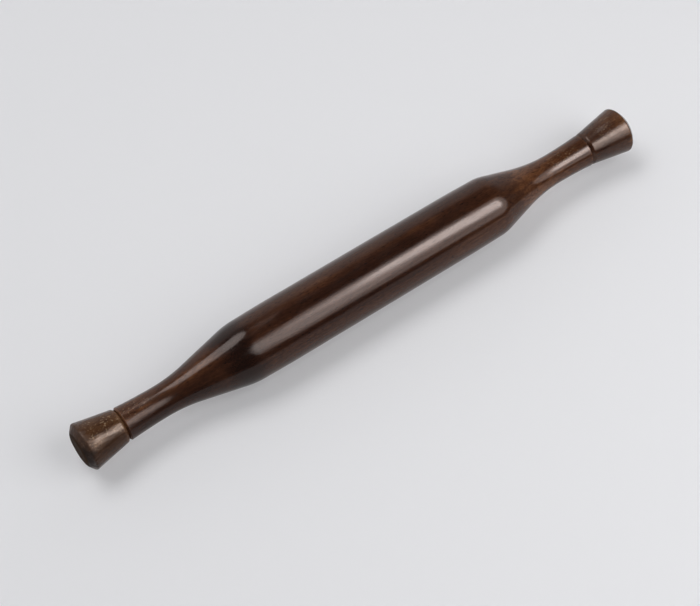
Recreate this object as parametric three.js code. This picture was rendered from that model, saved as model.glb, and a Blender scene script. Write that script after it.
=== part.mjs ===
// A slim wooden rolling pin, turned from dark hardwood, lying on its barrel.
// Millimetres, +Z up. The pin's axis runs along X, and the origin lies under the middle of its length,
// on the surface that the barrel rests on.

import * as THREE from 'three';

// Barrel: a straight land in the middle, from which it narrows a little towards each shoulder
const BARREL_LENGTH = 151.7;
const BARREL_DIAMETER = 32.8;
const BARREL_END_DIAMETER = 32.3;
const BARREL_LAND_LENGTH = 110;
const LEFT_SHOULDER_ROUNDING = 5;
const RIGHT_SHOULDER_ROUNDING = 3.4;

// Handles: a flare runs from the barrel's shoulder to the waist, and a neck from the waist to the knob
const LEFT_FLARE_LENGTH = 45.3;
const RIGHT_FLARE_LENGTH = 40.8;
const LEFT_HOLLOW_REACH = 8.6;
const RIGHT_HOLLOW_REACH = 11.4;
const LEFT_NECK_LENGTH = 21.6;
const RIGHT_NECK_LENGTH = 20.6;
const WAIST_DIAMETER = 16;
const NECK_END_DIAMETER = 17.5;
const NECK_BEVEL = 1.2;

// Knobs: a cone widens from the throat at the neck to the rim, and a chamfer leads to the flat end face
const LEFT_KNOB_LENGTH = 23.8;
const RIGHT_KNOB_LENGTH = 26.2;
const KNOB_THROAT_DIAMETER = 17.2;
const KNOB_THROAT_BEVEL = 2.2;
const KNOB_RIM_DIAMETER = 25.3;
const KNOB_RIM_SETBACK = 3.2;
const KNOB_RIM_ROUNDING = 0.8;
const KNOB_FACE_DIAMETER = 16.8;

// The bevels of the neck and of the knob's throat meet in a shallow groove at each seam
const SEAM_GROOVE_DEPTH = 0.9;

// Fluted dowels, glued into blind holes in the necks and knobs
const DOWEL_DIAMETER = 8;
const DOWEL_IN_NECK = 17;
const DOWEL_IN_KNOB = 13;
const DOWEL_CHAMFER = 0.8;
const FLUTE_COUNT = 16;
const FLUTE_DEPTH = 0.3;
const DOWEL_CLEARANCE = 0.15;
const HOLE_END_CLEARANCE = 1;
const GLUE_LINE = 0.15;

// Facets of the round pieces, and steps in each curved stretch of an outline
const FACETS = 24;
const CURVE_STEPS = 6;

const HALF_TURN = Math.PI;
const HOLE_RADIUS = DOWEL_DIAMETER / 2 + DOWEL_CLEARANCE;

const HANDLES = {
  left: {
    knob: LEFT_KNOB_LENGTH,
    neck: LEFT_NECK_LENGTH,
    hollow: LEFT_HOLLOW_REACH,
    flare: LEFT_FLARE_LENGTH,
    shoulderRounding: LEFT_SHOULDER_ROUNDING,
  },
  right: {
    knob: RIGHT_KNOB_LENGTH,
    neck: RIGHT_NECK_LENGTH,
    hollow: RIGHT_HOLLOW_REACH,
    flare: RIGHT_FLARE_LENGTH,
    shoulderRounding: RIGHT_SHOULDER_ROUNDING,
  },
};

const handleLength = (handle) => handle.knob + handle.neck + handle.flare;
const OVERALL_LENGTH = handleLength(HANDLES.left) + BARREL_LENGTH + handleLength(HANDLES.right);

// The glue line at each knob is centred on its seam
const LEFT_SEAM = -OVERALL_LENGTH / 2 + HANDLES.left.knob;
const RIGHT_SEAM = OVERALL_LENGTH / 2 - HANDLES.right.knob;

// The barrel rests on one of its facets, whose middle lies on the true round
const AXIS_HEIGHT = BARREL_DIAMETER / 2;

const finish = (color, roughness) => new THREE.MeshStandardMaterial({ color, roughness, metalness: 0 });
const BODY_FINISH = finish('#3d271d', 0.35);
const KNOB_FINISH = finish('#543a29', 0.4);
const DOWEL_FINISH = finish('#c9a878', 0.7);

// Turned solid about the Y axis, from an outline of radius and distance along the axis.
// Its corners reach past the outline's radius, so that the middles of its facets lie on the true round.
function turned(outline, material) {
  const halfFacet = HALF_TURN / FACETS;
  const corners = outline.map(({ x, y }) => new THREE.Vector2(x / Math.cos(halfFacet), y));
  const geometry = new THREE.LatheGeometry(corners, FACETS, halfFacet);
  return new THREE.Mesh(geometry, material);
}

// Half of the body's outline, measured along the axis from the knob's seam towards the barrel's middle
function bodyHalfOutline(handle) {
  const face = GLUE_LINE / 2;
  const holeBottom = DOWEL_IN_NECK + HOLE_END_CLEARANCE;
  const waist = handle.neck;
  const shoulder = waist + handle.flare;
  const land = shoulder + (BARREL_LENGTH - BARREL_LAND_LENGTH) / 2;
  const waistRadius = WAIST_DIAMETER / 2;
  const shoulderRadius = BARREL_END_DIAMETER / 2;
  const neckEndRadius = NECK_END_DIAMETER / 2;

  // The flare's straight cone starts at the hollow's reach and would meet the barrel at the shoulder
  const coneFoot = waist + handle.hollow;
  const coneSlope = (shoulderRadius - waistRadius) / (shoulder - coneFoot);
  const coneRadius = (along) => waistRadius + (along - coneFoot) * coneSlope;
  const hollowEnd = coneFoot + handle.hollow;
  const roundingStart = shoulder - handle.shoulderRounding;
  const roundingEnd = shoulder + handle.shoulderRounding;

  const outline = new THREE.Path();
  outline.moveTo(0, holeBottom);
  outline.lineTo(HOLE_RADIUS, holeBottom);
  outline.lineTo(HOLE_RADIUS, face);
  outline.lineTo(neckEndRadius - SEAM_GROOVE_DEPTH, face);
  outline.lineTo(neckEndRadius, face + NECK_BEVEL);
  outline.quadraticCurveTo(waistRadius, waist / 2, waistRadius, waist);
  outline.quadraticCurveTo(waistRadius, coneFoot, coneRadius(hollowEnd), hollowEnd);
  outline.lineTo(coneRadius(roundingStart), roundingStart);
  outline.quadraticCurveTo(shoulderRadius, shoulder, shoulderRadius, roundingEnd);
  outline.lineTo(BARREL_DIAMETER / 2, land);
  return outline.getPoints(CURVE_STEPS);
}

// Barrel and both handle necks, in one piece, with a blind hole in each end
function pinBody() {
  const left = bodyHalfOutline(HANDLES.left).map(({ x, y }) => new THREE.Vector2(x, LEFT_SEAM + y));
  const right = bodyHalfOutline(HANDLES.right).map(({ x, y }) => new THREE.Vector2(x, RIGHT_SEAM - y));
  return turned([...left, ...right.reverse()], BODY_FINISH);
}

// The point at a distance from a corner, on the way to a target
const stepFrom = (corner, target, distance) => target.clone().sub(corner).setLength(distance).add(corner);

// Flared knob, measured along the axis from its end face towards the seam, with a blind hole for the dowel
function flaredKnob(length) {
  const seat = length - GLUE_LINE / 2;
  const holeBottom = length - DOWEL_IN_KNOB - HOLE_END_CLEARANCE;
  const rimRadius = KNOB_RIM_DIAMETER / 2;
  const throatRadius = KNOB_THROAT_DIAMETER / 2;
  const faceRadius = KNOB_FACE_DIAMETER / 2;

  const chamferEnd = new THREE.Vector2(faceRadius, 0);
  const rim = new THREE.Vector2(rimRadius, KNOB_RIM_SETBACK);
  const throat = new THREE.Vector2(throatRadius, seat);
  const rimStart = stepFrom(rim, chamferEnd, KNOB_RIM_ROUNDING);
  const rimEnd = stepFrom(rim, throat, KNOB_RIM_ROUNDING);
  const bevelStart = stepFrom(throat, rim, KNOB_THROAT_BEVEL);

  const outline = new THREE.Path();
  outline.moveTo(0, 0);
  outline.lineTo(chamferEnd.x, chamferEnd.y);
  outline.lineTo(rimStart.x, rimStart.y);
  outline.quadraticCurveTo(rim.x, rim.y, rimEnd.x, rimEnd.y);
  outline.lineTo(bevelStart.x, bevelStart.y);
  outline.lineTo(throatRadius - SEAM_GROOVE_DEPTH, seat);
  outline.lineTo(HOLE_RADIUS, seat);
  outline.lineTo(HOLE_RADIUS, holeBottom);
  outline.lineTo(0, holeBottom);
  return turned(outline.getPoints(CURVE_STEPS), KNOB_FINISH);
}

// Fluted dowel with chamfered ends, measured along the axis from the seam, its long end in the neck
function flutedDowel() {
  const radius = DOWEL_DIAMETER / 2;
  const outline = [
    new THREE.Vector2(0, -DOWEL_IN_KNOB),
    new THREE.Vector2(radius - DOWEL_CHAMFER, -DOWEL_IN_KNOB),
    new THREE.Vector2(radius, -DOWEL_IN_KNOB + DOWEL_CHAMFER),
    new THREE.Vector2(radius, DOWEL_IN_NECK - DOWEL_CHAMFER),
    new THREE.Vector2(radius - DOWEL_CHAMFER, DOWEL_IN_NECK),
    new THREE.Vector2(0, DOWEL_IN_NECK),
  ];

  // Ridges and flutes take turns round the dowel: every second line of points drops to the flute's depth
  const geometry = new THREE.LatheGeometry(outline, 2 * FLUTE_COUNT);
  const points = geometry.attributes.position;
  for (let index = 0; index < points.count; index += 1) {
    const line = Math.floor(index / outline.length);
    const reach = Math.hypot(points.getX(index), points.getZ(index));
    if (line % 2 === 1 && reach > radius - FLUTE_DEPTH) {
      const shrink = (radius - FLUTE_DEPTH) / reach;
      points.setX(index, points.getX(index) * shrink);
      points.setZ(index, points.getZ(index) * shrink);
    }
  }
  geometry.computeVertexNormals();
  return new THREE.Mesh(geometry, DOWEL_FINISH);
}

// The pieces are turned about Y, and the whole pin is then laid down along X at the height of its axis
const pin = new THREE.Group();
pin.rotation.z = -HALF_TURN / 2;
pin.position.z = AXIS_HEIGHT;

function addPiece(name, mesh, along, reversed = false) {
  mesh.name = name;
  mesh.position.y = along;
  mesh.rotation.x = reversed ? HALF_TURN : 0;
  pin.add(mesh);
}

addPiece('pin_body', pinBody(), 0);
addPiece('left_knob', flaredKnob(HANDLES.left.knob), -OVERALL_LENGTH / 2);
addPiece('right_knob', flaredKnob(HANDLES.right.knob), OVERALL_LENGTH / 2, true);
addPiece('left_dowel', flutedDowel(), LEFT_SEAM);
addPiece('right_dowel', flutedDowel(), RIGHT_SEAM, true);

const rollingPin = new THREE.Group();
rollingPin.add(pin);

export default rollingPin;
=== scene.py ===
import math
from collections import namedtuple

import bpy
from mathutils import Matrix, Vector


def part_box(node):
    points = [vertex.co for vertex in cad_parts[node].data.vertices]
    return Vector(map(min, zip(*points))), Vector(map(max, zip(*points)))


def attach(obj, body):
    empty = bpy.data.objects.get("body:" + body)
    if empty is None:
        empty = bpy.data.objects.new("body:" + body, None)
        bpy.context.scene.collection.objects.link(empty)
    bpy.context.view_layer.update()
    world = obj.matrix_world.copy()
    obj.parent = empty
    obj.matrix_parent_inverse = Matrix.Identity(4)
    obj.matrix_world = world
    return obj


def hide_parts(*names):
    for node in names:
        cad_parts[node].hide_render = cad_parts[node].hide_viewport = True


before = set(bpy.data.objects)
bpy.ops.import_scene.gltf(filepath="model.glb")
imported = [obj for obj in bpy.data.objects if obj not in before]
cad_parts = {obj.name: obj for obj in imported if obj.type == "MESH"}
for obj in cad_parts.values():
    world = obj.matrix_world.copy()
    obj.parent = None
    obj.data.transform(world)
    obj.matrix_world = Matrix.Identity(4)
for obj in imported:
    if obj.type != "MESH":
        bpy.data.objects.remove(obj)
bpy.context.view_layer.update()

# A slim turned hardwood rolling pin under clear lacquer, lying on a pale floor.
# Metres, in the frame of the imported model: the pin's axis runs along X and the floor is at height 0.
MM = 0.001

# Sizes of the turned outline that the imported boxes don't give
BARREL_END_RADIUS = 16.15 * MM
BARREL_LAND = 110 * MM
LEFT_SHOULDER_ROUNDING = 5.0 * MM
RIGHT_SHOULDER_ROUNDING = 3.4 * MM
LEFT_FLARE = 45.3 * MM
RIGHT_FLARE = 40.8 * MM
LEFT_HOLLOW = 8.6 * MM
RIGHT_HOLLOW = 11.4 * MM
LEFT_NECK = 21.6 * MM
RIGHT_NECK = 20.6 * MM
WAIST_RADIUS = 8.0 * MM
NECK_END_RADIUS = 8.75 * MM
NECK_BEVEL = 0.7 * MM
SEAM_GROOVE_DEPTH = 0.9 * MM
KNOB_THROAT_RADIUS = 8.6 * MM
KNOB_THROAT_BEVEL = 1.3 * MM
BEVEL_ROUNDING = 0.4 * MM
KNOB_RIM_SETBACK = 3.2 * MM
KNOB_RIM_ROUNDING = 0.8 * MM
KNOB_FACE_RADIUS = 8.4 * MM
KNOB_FACE_ROUNDING = 2.0 * MM
DOWEL_CLEARANCE = 0.15 * MM
HOLE_END_CLEARANCE = 1.0 * MM

# Fineness of the turned meshes
OUTLINE_STEP = 0.7 * MM
CURVE_STEPS = 24
SEGMENTS = 144
SHARP_ANGLE = math.radians(40)
MERGE_DISTANCE = 1e-7
END_GRAIN_TILT = 0.9

# Unevenness that a hand-held gouge leaves in the round
WAVER_DEPTH = 0.05 * MM
WAVER_LENGTH = 26 * MM
WAVER_DETAIL = 1.0
BODY_SEED = 3
LEFT_KNOB_SEED = 5
RIGHT_KNOB_SEED = 8

# Camera
VIEW_AZIMUTH = math.radians(-35.27)
VIEW_ELEVATION = math.radians(57.62)
VIEW_DISTANCE = 0.866
VIEW_AIM = Vector((-0.0086, 0.0018, 0.0))
SENSOR_WIDTH = 36.0
LENS = 88.66
NEAR_CLIP = 0.01

# Softboxes: azimuth from the front towards +X and elevation in degrees; distance, width and height in metres.
# One that is glint_only shows in reflections alone, and gives them the uneven glow of a lit cloth.
Softbox = namedtuple("Softbox", "azimuth elevation distance width height radiance glint_only")
SOFTBOXES = {
    "front_softbox": Softbox(36, 42, 0.97, 0.92, 1.08, 1.95, False),
    "front_softbox_glow": Softbox(36, 41, 0.97, 0.90, 1.02, 0.7, True),
    "front_softbox_side": Softbox(19, 46.5, 0.97, 0.28, 0.60, 2.6, True),
    "front_softbox_heart": Softbox(43, 46.5, 0.97, 0.40, 0.64, 3.8, True),
    "front_softbox_core": Softbox(43, 47, 0.97, 0.28, 0.46, 10.0, True),
    "back_softbox": Softbox(-155, 63, 2.0, 1.60, 1.00, 3.8, False),
    "back_softbox_glow": Softbox(-155, 63, 2.0, 1.45, 0.90, 15.0, True),
}

# Studio room: dim overhead and in front, with a paler wall low behind the pin.
# The wall fades out over ranges of the upward and the backward part of a direction.
ROOM_DIM = 0.12
ROOM_WALL = 0.65
ROOM_COLOUR = (0.97, 0.98, 1.0)
WALL_TOP = (0.45, 0.75)
WALL_FRONT = (-0.2, 0.4)

# Floor: near the pin it takes all light and shadow but for a little fill, and far away it is plain
FLOOR_HALF = 8.0
FLOOR_COLOUR = (0.89, 0.89, 0.91)
FLOOR_PLAIN_LIGHT = 0.85
FLOOR_FILL = 0.20
FLOOR_LIT_REACH = 0.45
FLOOR_PLAIN_REACH = 1.6

# Marks in the wood, and painted light and shade, as soft ovals. In millimetres and degrees: place along the
# pin from its middle, angle round it (0 at the back, 90 on top, 180 in front), distance from its axis, half
# length, half width,
# and the shift that it adds in its middle: to the tone, or further down to the flecks, dullness or dents.
Mark = namedtuple("Mark", "along angle reach half_length half_width shift")
MARK_EDGE = 0.7
BODY_MARKS = [
    # A black patch rings the left shoulder
    Mark(-78, 140, 0, 13, 44, -0.50),
    # Long dark streaks along the top and the front of the barrel, hugging both edges of its highlight, and
    # one along the lower edge of the left flare's highlight: painted shade, standing in for the dark band of
    # reflection beside the highlights
    Mark(3, 101, 16, 88, 5.5, -0.28),
    Mark(-10, 147, 16, 80, 3.0, -0.20),
    Mark(-112, 156, 10.5, 32, 4, -0.16),
    # A dark streak on the front of the left flare; below it the lower front of the left handle is darker
    Mark(-106, 130, 10, 26, 8, -0.10),
    Mark(-132, 165, 8, 20, 8, -0.24),
    Mark(-104, 172, 11, 36, 8, -0.16),
    # The left handle is paler on top, and its pale streaks on the neck and along the flare's top lie under
    # the highlights there: paler wood with a painted warm highlight in it. Most of the right handle is paler
    # than the barrel
    Mark(-142, 78, 8, 34, 10, 0.18),
    Mark(-133, 121, 8, 16, 4, 0.14),
    Mark(-105, 94, 11, 28, 6, 0.30),
    Mark(103, 0, 0, 36, 60, 0.28),
    Mark(132, 0, 0, 14, 60, 0.08),
    Mark(106, 162, 11, 16, 7, 0.10),
    # The right shoulder is a little darker
    Mark(84, 120, 0, 9, 40, -0.16),
    # A paler lower front on the right of the barrel, painted light; then warmer patches on its top
    Mark(62, 160, 16.4, 30, 9, 0.12),
    Mark(-25, 84, 16.4, 16, 5, 0.12),
    Mark(36, 88, 16.4, 14, 5, 0.16),
    # The upper back of the barrel is darker and browner towards the right: painted shade
    Mark(50, 70, 16.4, 46, 8, -0.08),
]
LEFT_KNOB_MARKS = [
    # The darker front, then a pale patch at the lower end of the highlight, partly wear and partly a painted
    # highlight, and a pale collar
    Mark(-152, 160, 10.5, 18, 9, -0.18),
    Mark(-155.5, 122, 12, 4.5, 5, 0.24),
    Mark(-143, 105, 9, 6, 8, 0.14),
    # The end is darker, and its lower part darker still: painted shade on the lower chamfer
    Mark(-167, 90, 0, 9, 60, -0.22),
    Mark(-166, 160, 9, 7, 11, -0.45),
]
RIGHT_KNOB_MARKS = [
    # The darker front and throat, then a golden patch and a pale edge near the rim
    Mark(150, 165, 10.5, 14, 9, -0.14),
    Mark(142, 85, 0, 13, 40, -0.12),
    Mark(161, 104, 12, 6, 6, 0.36),
    Mark(162, 152, 12, 4, 9, 0.24),
    Mark(158, 65, 12, 9, 8, 0.14),
]

# Where pale flecks gather, and where handling has dulled the lacquer
BODY_FLECKS = [Mark(-134, 90, 8, 12, 6, 0.7), Mark(122, 95, 8, 18, 5, 0.6)]
LEFT_KNOB_FLECKS = [
    Mark(-146, 100, 9.5, 7, 8, 1.0),
    Mark(-158, 112, 11.5, 6, 7, 1.0),
    Mark(-152, 70, 11, 10, 7, 0.7),
]
RIGHT_KNOB_FLECKS = [Mark(151, 85, 10, 10, 8, 0.5)]
BODY_WORN = [Mark(-142, 90, 0, 30, 40, 0.10)]
LEFT_KNOB_WORN = [
    Mark(-163, 122, 12, 7, 12, 0.24),
    Mark(-167, 0, 0, 8, 60, 0.40),
]
RIGHT_KNOB_WORN = [Mark(150, 80, 10, 8, 8, 0.08)]

# Edges at the seams, where the lacquer is rubbed thin and dull. Their paler tone is painted light: a painted
# highlight on the arrises and painted light on the dark groove walls
BODY_SEAM_LIGHT_AND_WEAR = [Mark(-141.0, 0, 0, 1.0, 60, 0.32), Mark(138.1, 0, 0, 1.2, 60, 0.16)]
LEFT_KNOB_SEAM_LIGHT_AND_WEAR = [Mark(-142.5, 0, 0, 1.4, 60, 0.14)]
RIGHT_KNOB_SEAM_LIGHT_AND_WEAR = [Mark(140.1, 0, 0, 1.2, 60, 0.06)]
EDGE_DULLING = 0.6

# Where small dents under the lacquer break up the reflections
BODY_DENTS = [Mark(-138, 0, 0, 18, 60, 9.0)]
LEFT_KNOB_DENTS = [Mark(-153, 0, 0, 30, 60, 12.0)]
RIGHT_KNOB_DENTS = [Mark(152, 0, 0, 30, 60, 4.0)]

# Tones of the heartwood, from its blackest streaks to its palest
BODY_TONES = [
    (0.0, (0.010, 0.0032, 0.0018)),
    (0.25, (0.0195, 0.0060, 0.0029)),
    (0.50, (0.0365, 0.0120, 0.0053)),
    (0.75, (0.070, 0.0250, 0.0103)),
    (1.0, (0.145, 0.0560, 0.0220)),
]
KNOB_TONES = [
    (0.0, (0.012, 0.0046, 0.0025)),
    (0.25, (0.028, 0.0105, 0.0050)),
    (0.50, (0.055, 0.0225, 0.0100)),
    (0.75, (0.095, 0.0420, 0.0180)),
    (1.0, (0.150, 0.0720, 0.0320)),
]
RED_KNOB_TONES = [
    (0.0, (0.012, 0.0040, 0.0022)),
    (0.25, (0.028, 0.0090, 0.0042)),
    (0.50, (0.055, 0.0190, 0.0080)),
    (0.75, (0.095, 0.0370, 0.0150)),
    (1.0, (0.150, 0.0670, 0.0270)),
]
END_GRAIN_TONES = [
    (0.3, (0.027, 0.0136, 0.0070)),
    (0.7, (0.050, 0.0258, 0.0130)),
]
DOWEL_TONES = [
    (0.3, (0.42, 0.25, 0.12)),
    (0.7, (0.62, 0.42, 0.23)),
]
PORE_COLOUR = (0.008, 0.0030, 0.0018)
FLECK_COLOUR = (0.26, 0.17, 0.10)
DOWEL_FLECK_COLOUR = (0.25, 0.12, 0.05)

# Layers of the figure: cycles per millimetre along and across the grain, detail, and weight.
# The weight is how strongly a layer shows, or how many millimetres the drift moves the grain and the feather
# moves the marks.
NOISE_MIDDLE = 0.5
Layer = namedtuple("Layer", "along across detail weight", defaults=[1.0])
FIGURE = {
    "bands": Layer(0.010, 0.22, 2.0, 0.26),
    "streaks": Layer(0.05, 0.9, 2.0, 0.26),
    "fibres": Layer(0.4, 2.5, 2.0, 0.50),
}
DRIFT = Layer(0.012, 0.03, 2.0, 4.0)
RING_WEIGHT = 0.04
RING_PITCH = 2.0
PITH_PLACE = (0, 21, 33)
PITH_LEAN = (0, math.radians(3), math.radians(-2))
FEATHER = Layer(0.02, 0.35, 2.0, 12.0)
MOTTLE = Layer(0.22, 0.45, 2.0)
PORES = Layer(0.40, 2.0, 1.0, 0.70)
FLECKS = Layer(0.8, 1.0, 1.0, 0.65)
SMEARS = Layer(0.10, 0.35, 3.0)
DENTS = Layer(0.16, 0.42, 1.0)
GLOSS_SPREAD = 0.05
RELIEF_STRENGTH = 0.35
RELIEF_DEPTH = 0.05 * MM
FIBRE_RELIEF = 0.15
PORE_RELIEF = -0.35

# Each of these layers reads its own stretch of noise, and turns a band of its values into a share
MOTTLE_PLACE = (3, 1, 8)
PORES_PLACE = (7, 3, 5)
FLECKS_PLACE = (2, 9, 4)
DENTS_PLACE = (6, 2, 1)
MOTTLE_BAND = (0.35, 0.65)
MOTTLE_SHARE = (0.6, 1.2)
PORES_BAND = (0.62, 0.70)
FLECKS_BAND = (0.58, 0.68)
MIDDLE_BAND = (0.3, 0.7)

# End grain and dowel wood, whose layers are in cycles per metre
END_GRAIN_FIGURE = Layer(300, 500, 3.0)
END_GRAIN_DOTS = Layer(200, 1800, 1.0)
END_GRAIN_ROUGHNESS = (0.48, 0.60)
END_GRAIN_RELIEF = 0.3
END_GRAIN_IOR = 1.06
DOWEL_FIGURE = Layer(120, 2600, 3.0)
DOWEL_FLECKS = Layer(500, 4000, 1.0)
DOWEL_ROUGHNESS = (0.62, 0.78)
DOWEL_RELIEF = 0.4

# Finish of a wooden piece: place along the log in millimetres, tones, middle tone, marks, flecks, worn spots,
# edges and dents, then roughness, refractive index and tint of the lacquer
WoodFinish = namedtuple(
    "WoodFinish", "log_place tones middle marks flecks worn edges dents roughness ior glaze"
)
BODY_FINISH = WoodFinish(
    log_place=0,
    tones=BODY_TONES,
    middle=0.57,
    marks=BODY_MARKS,
    flecks=BODY_FLECKS,
    worn=BODY_WORN,
    edges=BODY_SEAM_LIGHT_AND_WEAR,
    dents=BODY_DENTS,
    roughness=0.13,
    ior=1.37,
    glaze=(1.0, 0.86, 0.81),
)
LEFT_KNOB_FINISH = WoodFinish(
    log_place=400,
    tones=KNOB_TONES,
    middle=0.58,
    marks=LEFT_KNOB_MARKS,
    flecks=LEFT_KNOB_FLECKS,
    worn=LEFT_KNOB_WORN,
    edges=LEFT_KNOB_SEAM_LIGHT_AND_WEAR,
    dents=LEFT_KNOB_DENTS,
    roughness=0.19,
    ior=1.345,
    glaze=(1.0, 0.82, 0.71),
)
RIGHT_KNOB_FINISH = WoodFinish(
    log_place=400,
    tones=RED_KNOB_TONES,
    middle=0.53,
    marks=RIGHT_KNOB_MARKS,
    flecks=RIGHT_KNOB_FLECKS,
    worn=RIGHT_KNOB_WORN,
    edges=RIGHT_KNOB_SEAM_LIGHT_AND_WEAR,
    dents=RIGHT_KNOB_DENTS,
    roughness=0.19,
    ior=1.44,
    glaze=(1.0, 0.83, 0.74),
)

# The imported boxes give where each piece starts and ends
body_low, body_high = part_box("pin_body")
left_low, left_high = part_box("left_knob")
right_low, right_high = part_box("right_knob")
left_dowel_low, left_dowel_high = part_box("left_dowel")
right_dowel_low, right_dowel_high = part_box("right_dowel")
axis_height = (body_low.z + body_high.z) / 2
barrel_radius = (body_high.z - body_low.z) / 2
knob_radius = (left_high.z - left_low.z) / 2
hole_radius = (left_dowel_high.y - left_dowel_low.y) / 2 + DOWEL_CLEARANCE
left_seam = (left_high.x + body_low.x) / 2
right_seam = (body_high.x + right_low.x) / 2
half_glue = body_low.x - left_seam


class NodeBench:
    """Adds nodes to one tree and joins their sockets."""

    def __init__(self, tree):
        self.tree = tree

    def add(self, kind, inputs=None, **settings):
        node = self.tree.nodes.new(kind)
        for name, value in settings.items():
            setattr(node, name, value)
        for socket, value in (inputs or {}).items():
            self.feed(node.inputs[socket], value)
        return node

    def feed(self, socket, value):
        if isinstance(value, bpy.types.NodeSocket):
            self.tree.links.new(value, socket)
        else:
            socket.default_value = value

    def math(self, operation, first, second=0.0):
        return self.add("ShaderNodeMath", {0: first, 1: second}, operation=operation).outputs[0]

    def added(self, *values):
        total = values[0]
        for value in values[1:]:
            total = self.math("ADD", total, value)
        return total

    def combine(self, x, y, z):
        return self.add("ShaderNodeCombineXYZ", {"X": x, "Y": y, "Z": z}).outputs[0]

    def separate(self, vector):
        return self.add("ShaderNodeSeparateXYZ", {"Vector": vector}).outputs


# Outlines: points of distance along the axis and radius


def bend(start, corner, end):
    """Points of a curve that leaves start towards corner and arrives at end from it, without start."""
    points = []
    for step in range(1, CURVE_STEPS + 1):
        share = step / CURVE_STEPS
        points.append(start * (1 - share) ** 2 + corner * 2 * share * (1 - share) + end * share ** 2)
    return points


def stepped(points):
    """The same outline with more points along its straight stretches."""
    fine = [points[0]]
    for start, end in zip(points, points[1:]):
        count = max(1, math.ceil((end - start).length / OUTLINE_STEP))
        fine += [start.lerp(end, step / count) for step in range(1, count + 1)]
    return fine


def towards(corner, target, distance):
    return corner + (target - corner).normalized() * distance


def handle_outline(neck, hollow, flare, rounding, land_start, hole_end):
    """Half of the body, from the bottom of its dowel hole to the barrel's straight middle.
    Distances are measured from the knob's seam."""
    shoulder = neck + flare
    cone_foot = neck + hollow
    slope = (BARREL_END_RADIUS - WAIST_RADIUS) / (shoulder - cone_foot)

    def on_cone(along):
        return Vector((along, WAIST_RADIUS + (along - cone_foot) * slope))

    waist = Vector((neck, WAIST_RADIUS))
    neck_end = Vector((half_glue + NECK_BEVEL, NECK_END_RADIUS))
    hollow_end = on_cone(cone_foot + hollow)
    rounding_start = on_cone(shoulder - rounding)
    rounding_end = Vector((shoulder + rounding, BARREL_END_RADIUS))
    return [
        Vector((hole_end, 0)),
        Vector((hole_end, hole_radius)),
        Vector((half_glue, hole_radius)),
        Vector((half_glue, NECK_END_RADIUS - SEAM_GROOVE_DEPTH)),
        neck_end,
        *bend(neck_end, Vector((neck / 2, WAIST_RADIUS)), waist),
        *bend(waist, Vector((cone_foot, WAIST_RADIUS)), hollow_end),
        rounding_start,
        *bend(rounding_start, Vector((shoulder, BARREL_END_RADIUS)), rounding_end),
        Vector((land_start, barrel_radius)),
    ]


def knob_outline(length, hole_end):
    """A flared knob, measured from its end face towards its seat on the neck."""
    chamfer_end = Vector((0, KNOB_FACE_RADIUS))
    rim = Vector((KNOB_RIM_SETBACK, knob_radius))
    throat = Vector((length, KNOB_THROAT_RADIUS))
    face_end = towards(chamfer_end, Vector((0, 0)), KNOB_FACE_ROUNDING)
    rim_start = towards(rim, chamfer_end, KNOB_RIM_ROUNDING)
    bevel_start = towards(throat, rim, KNOB_THROAT_BEVEL)
    bevel_end = Vector((length, KNOB_THROAT_RADIUS - SEAM_GROOVE_DEPTH))
    arris_start = towards(bevel_start, rim, BEVEL_ROUNDING)
    return [
        Vector((0, 0)),
        face_end,
        *bend(face_end, chamfer_end, towards(chamfer_end, rim, KNOB_FACE_ROUNDING)),
        rim_start,
        *bend(rim_start, rim, towards(rim, throat, KNOB_RIM_ROUNDING)),
        arris_start,
        *bend(arris_start, bevel_start, towards(bevel_start, bevel_end, BEVEL_ROUNDING)),
        bevel_end,
        Vector((length, hole_radius)),
        Vector((hole_end, hole_radius)),
        Vector((hole_end, 0)),
    ]


# Lathe: a Geometry Nodes tree that turns an outline about the pin's axis


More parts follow.
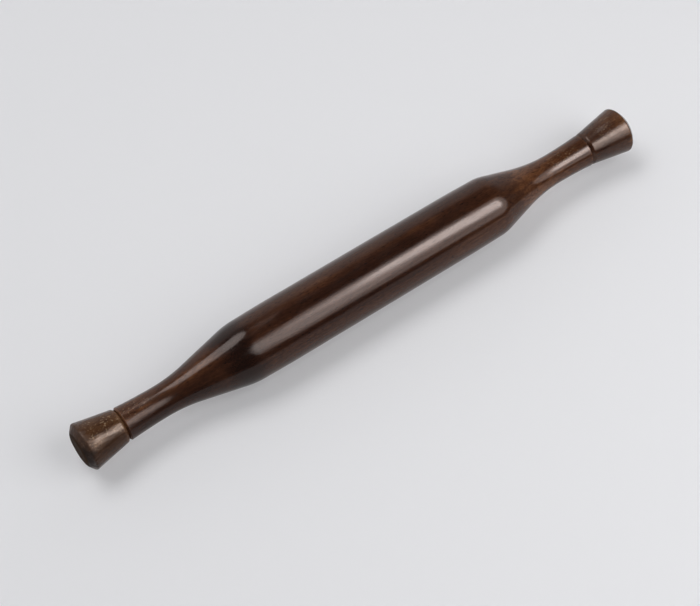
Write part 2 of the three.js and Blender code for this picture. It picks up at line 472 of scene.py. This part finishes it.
def lathe_tree():
    tree = bpy.data.node_groups.new("lathe", "GeometryNodeTree")
    sockets = [
        ("Outline", "NodeSocketGeometry"),
        ("Axis height", "NodeSocketFloat"),
        ("Segments", "NodeSocketInt"),
        ("Waver depth", "NodeSocketFloat"),
        ("Waver length", "NodeSocketFloat"),
        ("Seed", "NodeSocketInt"),
        ("Sharp angle", "NodeSocketFloat"),
        ("Wood", "NodeSocketMaterial"),
        ("End grain", "NodeSocketMaterial"),
    ]
    for name, kind in sockets:
        tree.interface.new_socket(name, in_out="INPUT", socket_type=kind)
    tree.interface.new_socket("Turned", in_out="OUTPUT", socket_type="NodeSocketGeometry")

    bench = NodeBench(tree)
    given = bench.add("NodeGroupInput").outputs
    outline = given["Outline"]
    count = bench.add("GeometryNodeAttributeDomainSize", {"Geometry": outline}).outputs["Point Count"]
    rows = bench.math("ADD", given["Segments"], 1)

    # A unit sheet: one side follows the outline, the other goes once round the axis
    sheet = bench.add(
        "GeometryNodeMeshGrid", {"Size X": 1.0, "Size Y": 1.0, "Vertices X": count, "Vertices Y": rows}
    ).outputs["Mesh"]
    place = bench.separate(bench.add("GeometryNodeInputPosition").outputs[0])
    share = bench.math("ADD", place["X"], 0.5)
    step = bench.math("MULTIPLY", share, bench.math("SUBTRACT", count, 1))
    index = bench.add("FunctionNodeFloatToInt", {0: step}, rounding_mode="ROUND").outputs[0]
    angle = bench.math("MULTIPLY", place["Y"], math.tau)
    point = bench.add(
        "GeometryNodeSampleIndex",
        {"Geometry": outline, "Value": bench.add("GeometryNodeInputPosition").outputs[0], "Index": index},
        data_type="FLOAT_VECTOR",
        domain="POINT",
        clamp=True,
    ).outputs["Value"]
    along, radius, _ = bench.separate(point)

    # The tool never cuts quite true, so the round falls short of its radius by a little here and there
    across = bench.math("COSINE", angle)
    upward = bench.math("SINE", angle)
    true_round = bench.combine(
        along, bench.math("MULTIPLY", across, radius), bench.math("MULTIPLY", upward, radius)
    )
    waver = bench.add(
        "ShaderNodeTexNoise",
        {
            "Vector": true_round,
            "W": given["Seed"],
            "Scale": bench.math("DIVIDE", 1.0, given["Waver length"]),
            "Detail": WAVER_DETAIL,
        },
        noise_dimensions="4D",
    ).outputs[0]
    shortfall = bench.math("MULTIPLY", waver, given["Waver depth"])
    turned_radius = bench.math("MAXIMUM", bench.math("SUBTRACT", radius, shortfall), 0.0)
    height = bench.math("ADD", bench.math("MULTIPLY", upward, turned_radius), given["Axis height"])
    position = bench.combine(along, bench.math("MULTIPLY", across, turned_radius), height)
    rolled = bench.add("GeometryNodeSetPosition", {"Geometry": sheet, "Position": position}).outputs[0]
    closed = bench.add(
        "GeometryNodeMergeByDistance", {"Geometry": rolled, "Distance": MERGE_DISTANCE}
    ).outputs[0]

    # Smooth all round, with the square edges kept sharp
    smooth = bench.add(
        "GeometryNodeSetShadeSmooth", {"Geometry": closed, "Shade Smooth": True}, domain="FACE"
    ).outputs[0]
    edge = bench.add("GeometryNodeInputMeshEdgeAngle").outputs["Unsigned Angle"]
    sharp = bench.add(
        "FunctionNodeCompare", {0: edge, 1: given["Sharp angle"]}, data_type="FLOAT", operation="GREATER_THAN"
    ).outputs[0]
    edged = bench.add(
        "GeometryNodeSetShadeSmooth",
        {"Geometry": smooth, "Selection": sharp, "Shade Smooth": False},
        domain="EDGE",
    ).outputs[0]
    real = bench.add("GeometryNodeRealizeInstances", {"Geometry": edged}).outputs[0]
    clad = bench.add("GeometryNodeSetMaterial", {"Geometry": real, "Material": given["Wood"]}).outputs[0]
    facing = bench.separate(bench.add("GeometryNodeInputNormal").outputs[0])["X"]
    across_axis = bench.add(
        "FunctionNodeCompare",
        {0: bench.math("ABSOLUTE", facing), 1: END_GRAIN_TILT},
        data_type="FLOAT",
        operation="GREATER_THAN",
    ).outputs[0]
    ended = bench.add(
        "GeometryNodeSetMaterial",
        {"Geometry": clad, "Selection": across_axis, "Material": given["End grain"]},
    ).outputs[0]
    bench.add("NodeGroupOutput", {"Turned": ended})
    return tree


def turned_piece(name, outline, tree, seed, wood, end_grain):
    """A plain mesh object of the outline turned about the pin's axis."""
    points = [(along, radius, 0) for along, radius in stepped(outline)]
    edges = [(index, index + 1) for index in range(len(points) - 1)]
    mesh = bpy.data.meshes.new(name)
    mesh.from_pydata(points, edges, [])
    piece = bpy.data.objects.new(name, mesh)
    bpy.context.scene.collection.objects.link(piece)

    settings = {
        "Axis height": axis_height,
        "Segments": SEGMENTS,
        "Waver depth": WAVER_DEPTH,
        "Waver length": WAVER_LENGTH,
        "Seed": seed,
        "Sharp angle": SHARP_ANGLE,
        "Wood": wood,
        "End grain": end_grain,
    }
    modifier = piece.modifiers.new("lathe", "NODES")
    modifier.node_group = tree
    for item in tree.interface.items_tree:
        if item.in_out == "INPUT" and item.name in settings:
            modifier[item.identifier] = settings[item.name]
    solid = bpy.data.meshes.new_from_object(piece.evaluated_get(bpy.context.evaluated_depsgraph_get()))
    piece.modifiers.remove(modifier)
    piece.data = solid
    solid.name = name
    bpy.data.meshes.remove(mesh)
    return piece


# Finishes


def new_material(name):
    material = bpy.data.materials.new(name)
    material.use_nodes = True
    material.node_tree.nodes.clear()
    return material, NodeBench(material.node_tree)


def layer_noise(bench, grain, layer, offset=(0, 0, 0)):
    """Noise that is long along the grain and short across it."""
    place = bench.add(
        "ShaderNodeMapping",
        {"Vector": grain, "Location": offset, "Scale": (layer.along, layer.across, layer.across)},
    ).outputs[0]
    return bench.add("ShaderNodeTexNoise", {"Vector": place, "Scale": 1.0, "Detail": layer.detail}).outputs[0]


def ranged(bench, value, low, high, to_low=0.0, to_high=1.0):
    inputs = {"Value": value, "From Min": low, "From Max": high, "To Min": to_low, "To Max": to_high}
    return bench.add("ShaderNodeMapRange", inputs, interpolation_type="SMOOTHSTEP").outputs[0]


def weighed(bench, value, weight):
    """A noise value as a swing about zero."""
    return bench.math("MULTIPLY", bench.math("SUBTRACT", value, NOISE_MIDDLE), weight)


def shades(bench, factor, stops):
    ramp = bench.add("ShaderNodeValToRGB", {"Fac": factor})
    elements = ramp.color_ramp.elements
    while len(elements) < len(stops):
        elements.new(0.5)
    for element, (position, colour) in zip(elements, stops):
        element.position = position
        element.color = (*colour, 1.0)
    return ramp.outputs["Color"]


def blended(bench, share, first, second):
    inputs = {"Factor": share, "A": first, "B": (*second, 1.0)}
    return bench.add("ShaderNodeMix", inputs, data_type="RGBA").outputs["Result"]


def mark_spot(bench, place, mark):
    """What a mark adds at a place, from 0 outside it to its full shift in its middle."""
    angle = math.radians(mark.angle)
    centre = (mark.along, mark.reach * math.cos(angle), mark.reach * math.sin(angle))
    size = (mark.half_length, mark.half_width, mark.half_width)
    inside = bench.add(
        "ShaderNodeMapping", {"Vector": place, "Location": centre, "Scale": size}, vector_type="TEXTURE"
    ).outputs[0]
    falloff = bench.add("ShaderNodeTexGradient", {"Vector": inside}, gradient_type="SPHERICAL").outputs["Fac"]
    return ranged(bench, falloff, 0.0, MARK_EDGE, 0.0, mark.shift)


def growth_rings(bench, grain):
    """Rings round a pith that lies outside the billet and leans across it."""
    leaning = bench.add(
        "ShaderNodeMapping", {"Vector": grain, "Location": PITH_PLACE, "Rotation": PITH_LEAN}
    ).outputs[0]
    _, ring_y, ring_z = bench.separate(leaning)
    square = bench.math("ADD", bench.math("POWER", ring_y, 2), bench.math("POWER", ring_z, 2))
    turn = bench.math("MULTIPLY", bench.math("SQRT", square), math.tau / RING_PITCH)
    return ranged(bench, bench.math("SINE", turn), -1.0, 1.0)


def lacquered_hardwood(name, finish):
    """Dark streaked heartwood, seen through a clear lacquer that fills most of its pores. Some of its marks
    paint shade and highlights into the tone.
    """
    material, bench = new_material(name)
    place = bench.add("ShaderNodeTexCoord").outputs["Object"]
    # From here on lengths are in millimetres, measured from the pin's axis
    scale = (1 / MM, 1 / MM, 1 / MM)
    billet = bench.add(
        "ShaderNodeMapping", {"Vector": place, "Location": (0, 0, -axis_height / MM), "Scale": scale}
    ).outputs[0]
    log_place = (finish.log_place, 0, 0)
    log = bench.add("ShaderNodeVectorMath", {0: billet, 1: log_place}, operation="ADD").outputs[0]
    drift = weighed(bench, layer_noise(bench, log, DRIFT), DRIFT.weight)
    wander = bench.combine(0, drift, drift)
    grain = bench.add("ShaderNodeVectorMath", {0: log, 1: wander}, operation="ADD").outputs[0]

    layers = {key: layer_noise(bench, grain, layer) for key, layer in FIGURE.items()}
    tone = bench.added(
        finish.middle,
        *(weighed(bench, layers[key], layer.weight) for key, layer in FIGURE.items()),
        weighed(bench, growth_rings(bench, grain), RING_WEIGHT),
    )

    # Marks run out along the grain in tongues, and the pale ones are mottled
    feather = bench.combine(weighed(bench, layer_noise(bench, grain, FEATHER), FEATHER.weight), drift, drift)
    feathered = bench.add("ShaderNodeVectorMath", {0: billet, 1: feather}, operation="ADD").outputs[0]
    mottle = ranged(bench, layer_noise(bench, grain, MOTTLE, MOTTLE_PLACE), *MOTTLE_BAND, *MOTTLE_SHARE)
    for mark in finish.marks:
        spot = mark_spot(bench, feathered, mark)
        if mark.shift > 0:
            spot = bench.math("MULTIPLY", spot, mottle)
        tone = bench.math("ADD", tone, spot)
    # Painted light at the seams: a paler tone on the seam edges and groove walls, whose lacquer is also
    # dulled
    seam_light_and_wear = bench.added(*(mark_spot(bench, billet, edge) for edge in finish.edges))
    colour = shades(bench, bench.math("ADD", tone, seam_light_and_wear), finish.tones)

    pores = ranged(bench, layer_noise(bench, grain, PORES, PORES_PLACE), *PORES_BAND)
    colour = blended(bench, bench.math("MULTIPLY", pores, PORES.weight), colour, PORE_COLOUR)
    flecks = ranged(bench, layer_noise(bench, grain, FLECKS, FLECKS_PLACE), *FLECKS_BAND)
    gathered = bench.added(*(mark_spot(bench, feathered, mark) for mark in finish.flecks))
    share = bench.math("MULTIPLY", bench.math("MULTIPLY", flecks, gathered), FLECKS.weight)
    colour = blended(bench, share, colour, FLECK_COLOUR)

    smear = layer_noise(bench, billet, SMEARS)
    glossiest = finish.roughness - GLOSS_SPREAD
    dullest = finish.roughness + GLOSS_SPREAD
    roughness = bench.added(
        ranged(bench, smear, *MIDDLE_BAND, glossiest, dullest),
        *(mark_spot(bench, feathered, mark) for mark in finish.worn),
        bench.math("MULTIPLY", seam_light_and_wear, EDGE_DULLING),
    )
    dented = bench.added(*(mark_spot(bench, billet, mark) for mark in finish.dents))
    relief = bench.added(
        bench.math("MULTIPLY", layers["fibres"], FIBRE_RELIEF),
        bench.math("MULTIPLY", pores, PORE_RELIEF),
        bench.math("MULTIPLY", layer_noise(bench, billet, DENTS, DENTS_PLACE), dented),
    )
    bump = bench.add(
        "ShaderNodeBump", {"Height": relief, "Strength": RELIEF_STRENGTH, "Distance": RELIEF_DEPTH}
    ).outputs[0]
    shader = bench.add(
        "ShaderNodeBsdfPrincipled",
        {
            "Base Color": colour,
            "Roughness": roughness,
            "Normal": bump,
            "IOR": finish.ior,
            "Specular Tint": (*finish.glaze, 1.0),
        },
    )
    bench.add("ShaderNodeOutputMaterial", {"Surface": shader.outputs[0]})
    return material


def end_grain(name):
    """Dull end grain, whose open pores show as dark dots."""
    material, bench = new_material(name)
    place = bench.add("ShaderNodeTexCoord").outputs["Object"]
    figure = layer_noise(bench, place, END_GRAIN_FIGURE)
    dots = ranged(bench, layer_noise(bench, place, END_GRAIN_DOTS), *PORES_BAND)
    colour = shades(bench, figure, END_GRAIN_TONES)
    colour = blended(bench, bench.math("MULTIPLY", dots, PORES.weight), colour, PORE_COLOUR)
    roughness = ranged(bench, figure, *MIDDLE_BAND, *END_GRAIN_ROUGHNESS)
    bump = bench.add(
        "ShaderNodeBump", {"Height": dots, "Strength": END_GRAIN_RELIEF, "Distance": RELIEF_DEPTH}
    ).outputs[0]
    shader = bench.add(
        "ShaderNodeBsdfPrincipled",
        {"Base Color": colour, "Roughness": roughness, "Normal": bump, "IOR": END_GRAIN_IOR},
    )
    bench.add("ShaderNodeOutputMaterial", {"Surface": shader.outputs[0]})
    return material


def bare_beech(name):
    """Pale dowel wood with short dark flecks along its grain."""
    material, bench = new_material(name)
    place = bench.add("ShaderNodeTexCoord").outputs["Object"]
    figure = layer_noise(bench, place, DOWEL_FIGURE)
    flecks = ranged(bench, layer_noise(bench, place, DOWEL_FLECKS), *PORES_BAND)
    colour = shades(bench, figure, DOWEL_TONES)
    colour = blended(bench, flecks, colour, DOWEL_FLECK_COLOUR)
    bump = bench.add(
        "ShaderNodeBump", {"Height": figure, "Strength": DOWEL_RELIEF, "Distance": RELIEF_DEPTH}
    ).outputs[0]
    roughness = ranged(bench, figure, *MIDDLE_BAND, *DOWEL_ROUGHNESS)
    shader = bench.add(
        "ShaderNodeBsdfPrincipled", {"Base Color": colour, "Roughness": roughness, "Normal": bump}
    )
    bench.add("ShaderNodeOutputMaterial", {"Surface": shader.outputs[0]})
    return material


# Stage


def aimed(location, aim):
    """A rotation and place that look from location to aim, with the horizon level."""
    backward = (location - aim).normalized()
    right = Vector((0, 0, 1)).cross(backward).normalized()
    up = backward.cross(right)
    turn = Matrix((right, up, backward)).transposed().to_4x4()
    return Matrix.Translation(location) @ turn


def from_angles(azimuth, elevation, distance):
    """The place at a distance from the origin; azimuth 0 is in front, towards -Y."""
    level = math.cos(elevation) * distance
    return Vector((math.sin(azimuth) * level, -math.cos(azimuth) * level, math.sin(elevation) * distance))


def add_camera():
    data = bpy.data.cameras.new("camera")
    data.lens = LENS
    data.sensor_fit = "HORIZONTAL"
    data.sensor_width = SENSOR_WIDTH
    data.clip_start = NEAR_CLIP
    camera = bpy.data.objects.new("camera", data)
    bpy.context.scene.collection.objects.link(camera)
    place = VIEW_AIM + from_angles(VIEW_AZIMUTH, VIEW_ELEVATION, VIEW_DISTANCE)
    camera.matrix_world = aimed(place, VIEW_AIM)
    bpy.context.scene.camera = camera


def add_softbox(name, box):
    data = bpy.data.lights.new(name, "AREA")
    data.shape = "ELLIPSE"
    data.size = box.width
    data.size_y = box.height
    area = math.pi * box.width * box.height / 4
    data.energy = box.radiance * math.pi * area
    lamp = bpy.data.objects.new(name, data)
    bpy.context.scene.collection.objects.link(lamp)
    place = from_angles(math.radians(box.azimuth), math.radians(box.elevation), box.distance)
    lamp.matrix_world = aimed(place, Vector((0, 0, 0)))
    lamp.visible_camera = False
    lamp.visible_diffuse = not box.glint_only


def add_floor():
    half = FLOOR_HALF
    mesh = bpy.data.meshes.new("floor")
    corners = [(-half, -half, 0), (half, -half, 0), (half, half, 0), (-half, half, 0)]
    mesh.from_pydata(corners, [], [(0, 1, 2, 3)])
    floor = bpy.data.objects.new("floor", mesh)
    bpy.context.scene.collection.objects.link(floor)

    material, bench = new_material("pale_floor")
    place = bench.add("ShaderNodeTexCoord").outputs["Object"]
    reach = bench.add("ShaderNodeVectorMath", {0: place}, operation="LENGTH").outputs["Value"]
    plain = ranged(bench, reach, FLOOR_LIT_REACH, FLOOR_PLAIN_REACH, FLOOR_FILL, 1.0)
    ray = bench.add("ShaderNodeLightPath").outputs
    mirrored = bench.math("MAXIMUM", ray["Is Glossy Ray"], ray["Is Transmission Ray"])
    seen = bench.math("MAXIMUM", ray["Is Camera Ray"], mirrored)
    colour = (*FLOOR_COLOUR, 1.0)
    lit = bench.add("ShaderNodeBsdfDiffuse", {"Color": colour}).outputs[0]
    glow = bench.add("ShaderNodeEmission", {"Color": colour, "Strength": FLOOR_PLAIN_LIGHT / FLOOR_COLOUR[0]})
    share = bench.math("MULTIPLY", plain, seen)
    surface = bench.add("ShaderNodeMixShader", {0: share, 1: lit, 2: glow.outputs[0]})
    bench.add("ShaderNodeOutputMaterial", {"Surface": surface.outputs[0]})
    mesh.materials.append(material)


def add_world():
    world = bpy.data.worlds.new("studio")
    bpy.context.scene.world = world
    world.use_nodes = True
    world.node_tree.nodes.clear()
    bench = NodeBench(world.node_tree)
    direction = bench.add("ShaderNodeTexCoord").outputs["Generated"]
    _, depth, rise = bench.separate(direction)
    low = ranged(bench, rise, *WALL_TOP, 1.0, 0.0)
    behind = ranged(bench, depth, *WALL_FRONT)
    wall = bench.math("MULTIPLY", low, behind)
    strength = bench.math("ADD", bench.math("MULTIPLY", wall, ROOM_WALL), ROOM_DIM)
    light = bench.add("ShaderNodeBackground", {"Color": (*ROOM_COLOUR, 1.0), "Strength": strength})
    bench.add("ShaderNodeOutputWorld", {"Surface": light.outputs[0]})


bpy.context.scene.view_settings.view_transform = "Standard"
add_camera()
for name, box in SOFTBOXES.items():
    add_softbox(name, box)
add_floor()
add_world()

body_wood = lacquered_hardwood("body_heartwood", BODY_FINISH)
left_knob_wood = lacquered_hardwood("left_knob_heartwood", LEFT_KNOB_FINISH)
right_knob_wood = lacquered_hardwood("right_knob_heartwood", RIGHT_KNOB_FINISH)
end_wood = end_grain("dark_end_grain")
dowel_wood = bare_beech("dowel_beech")
lathe = lathe_tree()

# Both halves of the body are outlined from their own seam, and meet in the barrel
barrel_length = right_seam - left_seam - LEFT_NECK - LEFT_FLARE - RIGHT_NECK - RIGHT_FLARE
run_in = (barrel_length - BARREL_LAND) / 2
left_hole_end = left_dowel_high.x + HOLE_END_CLEARANCE - left_seam
right_hole_end = right_seam - right_dowel_low.x + HOLE_END_CLEARANCE
left_land = LEFT_NECK + LEFT_FLARE + run_in
right_land = RIGHT_NECK + RIGHT_FLARE + run_in
left_half = handle_outline(
    LEFT_NECK, LEFT_HOLLOW, LEFT_FLARE, LEFT_SHOULDER_ROUNDING, left_land, left_hole_end
)
right_half = handle_outline(
    RIGHT_NECK, RIGHT_HOLLOW, RIGHT_FLARE, RIGHT_SHOULDER_ROUNDING, right_land, right_hole_end
)
body_outline = [Vector((left_seam + along, radius)) for along, radius in left_half]
body_outline += [Vector((right_seam - along, radius)) for along, radius in reversed(right_half)]
body = turned_piece("turned_body", body_outline, lathe, BODY_SEED, body_wood, end_wood)
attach(body, "root")
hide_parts("pin_body")

left_hole_start = left_dowel_low.x - HOLE_END_CLEARANCE - left_low.x
left_knob_outline = [
    Vector((left_low.x + along, radius))
    for along, radius in knob_outline(left_high.x - left_low.x, left_hole_start)
]
left_knob = turned_piece(
    "left_flared_knob", left_knob_outline, lathe, LEFT_KNOB_SEED, left_knob_wood, end_wood
)
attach(left_knob, "root")
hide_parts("left_knob")

right_hole_start = right_high.x - right_dowel_high.x - HOLE_END_CLEARANCE
right_knob_outline = [
    Vector((right_high.x - along, radius))
    for along, radius in reversed(knob_outline(right_high.x - right_low.x, right_hole_start))
]
right_knob = turned_piece(
    "right_flared_knob", right_knob_outline, lathe, RIGHT_KNOB_SEED, right_knob_wood, end_wood
)
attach(right_knob, "root")
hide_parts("right_knob")

for node in ("left_dowel", "right_dowel"):
    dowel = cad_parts[node]
    dowel.data.materials.clear()
    dowel.data.materials.append(dowel_wood)
